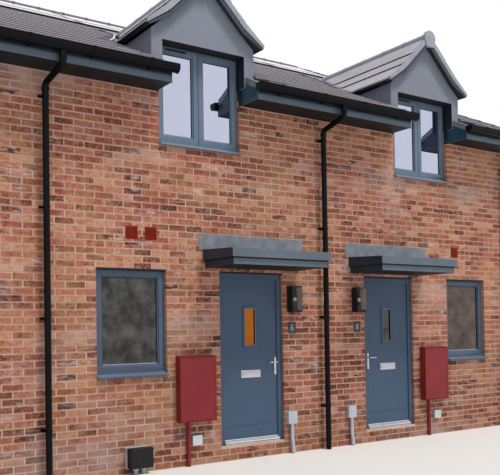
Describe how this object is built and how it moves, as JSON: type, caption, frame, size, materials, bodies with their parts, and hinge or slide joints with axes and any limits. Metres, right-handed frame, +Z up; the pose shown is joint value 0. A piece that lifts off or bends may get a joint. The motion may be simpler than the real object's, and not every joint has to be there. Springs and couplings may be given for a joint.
{
  "type": "terraced house row",
  "caption": "Terraced brick houses with slate-blue doors, flat canopies, grey rendered wall dormers, black rainwater pipes and a tiled roof with solar panels.",
  "frame": {"origin": "centre of the row's plan on the ground line", "axes": "+X along the row, -Y towards the street, +Z up"},
  "size_m": [14.924, 11.7103, 7.233],
  "materials": {
    "brick": "matt faced brick in lime-coloured mortar",
    "blockwork": "plastered block",
    "concrete": "power-floated concrete",
    "timber_floor": "chipboard deck",
    "roof_tile": "smooth grey concrete tile",
    "verge_grey": "dark grey dry verge cap",
    "panel": "dark solar glass",
    "render_grey": "through-coloured grey render",
    "fascia_blue": "blue-grey fascia board",
    "gutter_black": "black rainwater plastic",
    "frame_grey": "anthracite foiled frame",
    "glass": "sealed clear pane",
    "door_blue": "slate blue grained door skin",
    "threshold_white": "satin threshold",
    "canopy_grey": "blue-grey glass fibre canopy",
    "lead": "dressed lead",
    "meter_red": "dark red meter housing",
    "lamp_black": "black lantern",
    "service_grey": "grey service box",
    "satin_metal": "satin steel door furniture"
  },
  "bodies": {
    "building": {"front_piers": "brick", "front_aprons": "brick", "front_upper_wall": "brick", "rear_wall": "brick", "end_walls": "brick", "party_walls": "blockwork", "ground_floor": "concrete", "first_floor": "timber_floor", "roof_front": "roof_tile", "roof_rear": "roof_tile", "ridge_tiles": "roof_tile", "verge_caps": "verge_grey", "solar_panels": "panel", "dormer_walls": "render_grey", "dormer_roofs": "roof_tile", "dormer_ridges": "roof_tile", "lead_flashings": "lead", "eaves_boards": "fascia_blue", "eaves_ends": "fascia_blue", "gutters": "gutter_black", "downpipes": "gutter_black", "window_frames": "frame_grey", "window_sills": "frame_grey", "window_glass": "glass", "door_frames": "door_blue", "door_frame_1": "door_blue", "door_frame_2": "door_blue", "thresholds": "threshold_white", "closed_doors": "door_blue", "closed_door_furniture": "satin_metal", "canopies": "canopy_grey", "meter_boxes": "meter_red", "wall_lamps": "lamp_black", "wall_fittings": "service_grey"},
    "door_1": {"door_leaf_1": "door_blue", "door_glass_1": "glass", "door_furniture_1": "satin_metal"},
    "handle_1": {"lever_handle_1": "satin_metal"},
    "letterbox_1": {"letter_flap_1": "satin_metal"},
    "meter_lid_1": {"meter_door_1": "meter_red"},
    "door_2": {"door_leaf_2": "door_blue", "door_glass_2": "glass", "door_furniture_2": "satin_metal"},
    "handle_2": {"lever_handle_2": "satin_metal"},
    "letterbox_2": {"letter_flap_2": "satin_metal"},
    "meter_lid_2": {"meter_door_2": "meter_red"}
  },
  "joints": [
    {"name": "door_1_hinge", "type": "hinge", "parent": "building", "child": "door_1", "pos_m": [2.145, -5.1735, 0.25], "axis": [0, 0, 1], "range_deg": [0, 95]},
    {"name": "handle_1_spindle", "type": "hinge", "parent": "door_1", "child": "handle_1", "pos_m": [2.9225, -5.2355, 1.146], "axis": [0, -1, 0], "range_deg": [-40, 40], "stiffness_Nm_per_rad": 1.5},
    {"name": "letterbox_1_hinge", "type": "hinge", "parent": "door_1", "child": "letterbox_1", "pos_m": [2.5525, -5.2465, 1.047], "axis": [-1, 0, 0], "range_deg": [0, 85], "stiffness_Nm_per_rad": 0.2, "springref_deg": -17.19},
    {"name": "meter_door_1_hinge", "type": "hinge", "parent": "building", "child": "meter_lid_1", "pos_m": [1.4825, -5.3885, 0.52], "axis": [0, 0, -1], "range_deg": [0, 105]},
    {"name": "door_2_hinge", "type": "hinge", "parent": "building", "child": "door_2", "pos_m": [5.28, -5.1735, 0.25], "axis": [0, 0, -1], "range_deg": [0, 95]},
    {"name": "handle_2_spindle", "type": "hinge", "parent": "door_2", "child": "handle_2", "pos_m": [4.5025, -5.2355, 1.146], "axis": [0, 1, 0], "range_deg": [-40, 40], "stiffness_Nm_per_rad": 1.5},
    {"name": "letterbox_2_hinge", "type": "hinge", "parent": "door_2", "child": "letterbox_2", "pos_m": [4.8725, -5.2465, 1.047], "axis": [-1, 0, 0], "range_deg": [0, 85], "stiffness_Nm_per_rad": 0.2, "springref_deg": -17.19},
    {"name": "meter_door_2_hinge", "type": "hinge", "parent": "building", "child": "meter_lid_2", "pos_m": [5.9425, -5.3885, 0.52], "axis": [0, 0, 1], "range_deg": [0, 105]}
  ]
}
